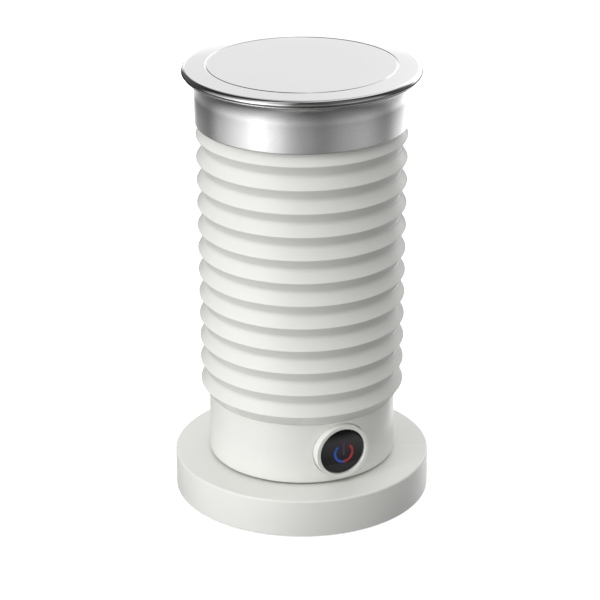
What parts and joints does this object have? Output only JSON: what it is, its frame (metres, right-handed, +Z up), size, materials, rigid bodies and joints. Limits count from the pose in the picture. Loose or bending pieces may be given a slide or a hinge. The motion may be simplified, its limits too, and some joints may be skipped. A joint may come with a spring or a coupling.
{
  "type": "milk frother",
  "caption": "Insulated jug with ribbed white sleeve, steel collar and flat steel lid, standing on a round cordless power base, with a round push button at the front.",
  "frame": {"origin": "on the surface it stands on, under the middle of the power base, at the undersides of the feet", "axes": "+Z up along the axis of the jug; -Y towards the push button; +Y towards the cord inlet at the back of the base"},
  "size_m": [0.115, 0.115, 0.1988],
  "materials": {
    "warm_white_plastic": "fine satin moulding",
    "black_plastic": "satin",
    "gloss_black_plastic": "polished",
    "grey_nylon": "moulded",
    "clear_plastic": "translucent",
    "black_rubber": "matte",
    "silicone": "matte",
    "brushed_stainless": "brushed round the axis",
    "polished_stainless": "polished",
    "plated_steel": "zinc plated",
    "aluminium_casting": "turned",
    "brass_contact": "drawn",
    "nickel_magnet": "nickel plated",
    "circuit_board": "solder resist",
    "blue_lens": "clear tinted",
    "red_lens": "clear tinted",
    "wire_sleeve": "braided glass sleeve"
  },
  "bodies": {
    "base": {"base_cover": "warm_white_plastic", "base_plate": "grey_nylon", "foot_1": "black_rubber", "foot_2": "black_rubber", "foot_3": "black_rubber", "foot_4": "black_rubber", "base_screw_1": "plated_steel", "base_screw_2": "plated_steel", "base_screw_3": "plated_steel", "cable_gland": "black_rubber", "base_socket": "black_plastic", "socket_contact_1": "brass_contact", "socket_contact_2": "brass_contact", "socket_contact_3": "brass_contact"},
    "jug": {"lower_housing": "warm_white_plastic", "bottom_cover": "black_plastic", "cover_screw_1": "plated_steel", "cover_screw_2": "plated_steel", "cover_screw_3": "plated_steel", "jug_connector": "black_plastic", "jug_pin": "brass_contact", "jug_ring_inner": "brass_contact", "jug_ring_outer": "brass_contact", "ribbed_sleeve": "warm_white_plastic", "steel_collar": "brushed_stainless", "inner_pot": "brushed_stainless", "pot_ring": "grey_nylon", "heater_plate": "aluminium_casting", "heater_element": "plated_steel", "heater_lead_left": "wire_sleeve", "heater_lead_right": "wire_sleeve", "motor_can": "plated_steel", "motor_bush": "brass_contact", "motor_bracket": "grey_nylon", "motor_screw_1": "plated_steel", "motor_screw_2": "plated_steel", "temperature_probe": "aluminium_casting", "control_board": "circuit_board", "whisk_spindle": "polished_stainless", "button_bezel": "warm_white_plastic", "switch_board": "circuit_board", "tact_switch": "black_plastic", "blue_lamp": "blue_lens", "red_lamp": "red_lens"},
    "rotor": {"motor_shaft": "polished_stainless", "drive_disc": "grey_nylon", "drive_magnet_1": "nickel_magnet", "drive_magnet_2": "nickel_magnet"},
    "whisk": {"whisk_hub": "black_plastic", "whisk_spring": "polished_stainless", "whisk_magnet_1": "nickel_magnet", "whisk_magnet_2": "nickel_magnet"},
    "button": {"button_cap": "gloss_black_plastic", "button_plunger": "clear_plastic"},
    "lid": {"lid_cap": "polished_stainless", "lid_plug": "black_plastic", "lid_seal": "silicone"}
  },
  "joints": [
    {"name": "jug_lift", "type": "slide", "parent": "base", "child": "jug", "axis": [0, 0, 1], "range_m": [0, 0.06]},
    {"name": "lid_lift", "type": "slide", "parent": "jug", "child": "lid", "axis": [0, 0, 1], "range_m": [0, 0.1]},
    {"name": "rotor_spin", "type": "hinge", "parent": "jug", "child": "rotor", "pos_m": [0, 0, 0.08], "axis": [0, 0, 1], "continuous": true},
    {"name": "whisk_spin", "type": "hinge", "parent": "jug", "child": "whisk", "pos_m": [0, 0, 0.094], "axis": [0, 0, 1], "continuous": true},
    {"name": "button_press", "type": "slide", "parent": "jug", "child": "button", "axis": [0, 1, 0], "range_m": [0, 0.0006], "stiffness_N_per_m": 800, "springref_m": -0.001}
  ],
  "couplings": [
    {"joint": "whisk_spin", "follows": "rotor_spin", "ratio": 1}
  ]
}
